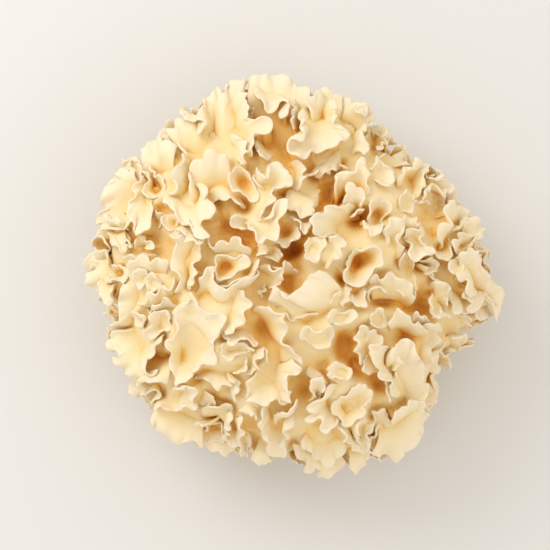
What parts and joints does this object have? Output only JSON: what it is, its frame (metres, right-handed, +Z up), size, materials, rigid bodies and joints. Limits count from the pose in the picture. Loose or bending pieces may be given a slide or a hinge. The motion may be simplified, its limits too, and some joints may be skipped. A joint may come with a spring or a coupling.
{
  "type": "cauliflower mushroom",
  "caption": "Domed head of a cauliflower mushroom: thin ivory ruffled lobes on branches that fork from a short stem with a flat cut underneath.",
  "frame": {"origin": "middle of the flat cut under the stem, on the surface the mushroom rests on", "axes": "+Z up through the head; +Y towards the top of the picture, +X towards its right"},
  "size_m": [0.2144, 0.2046, 0.1173],
  "materials": {
    "lobe_flesh": "satin",
    "stem_flesh": "matte"
  },
  "bodies": {
    "root": {"stem": "stem_flesh", "branch_back": "lobe_flesh", "branch_back_right": "lobe_flesh", "branch_right_back": "lobe_flesh", "branch_right_inner": "lobe_flesh", "branch_right": "lobe_flesh", "branch_front_right": "lobe_flesh", "branch_front": "lobe_flesh", "branch_front_left": "lobe_flesh", "branch_left_inner": "lobe_flesh", "branch_left": "lobe_flesh", "branch_back_left": "lobe_flesh", "branch_centre": "lobe_flesh"}
  },
  "joints": []
}
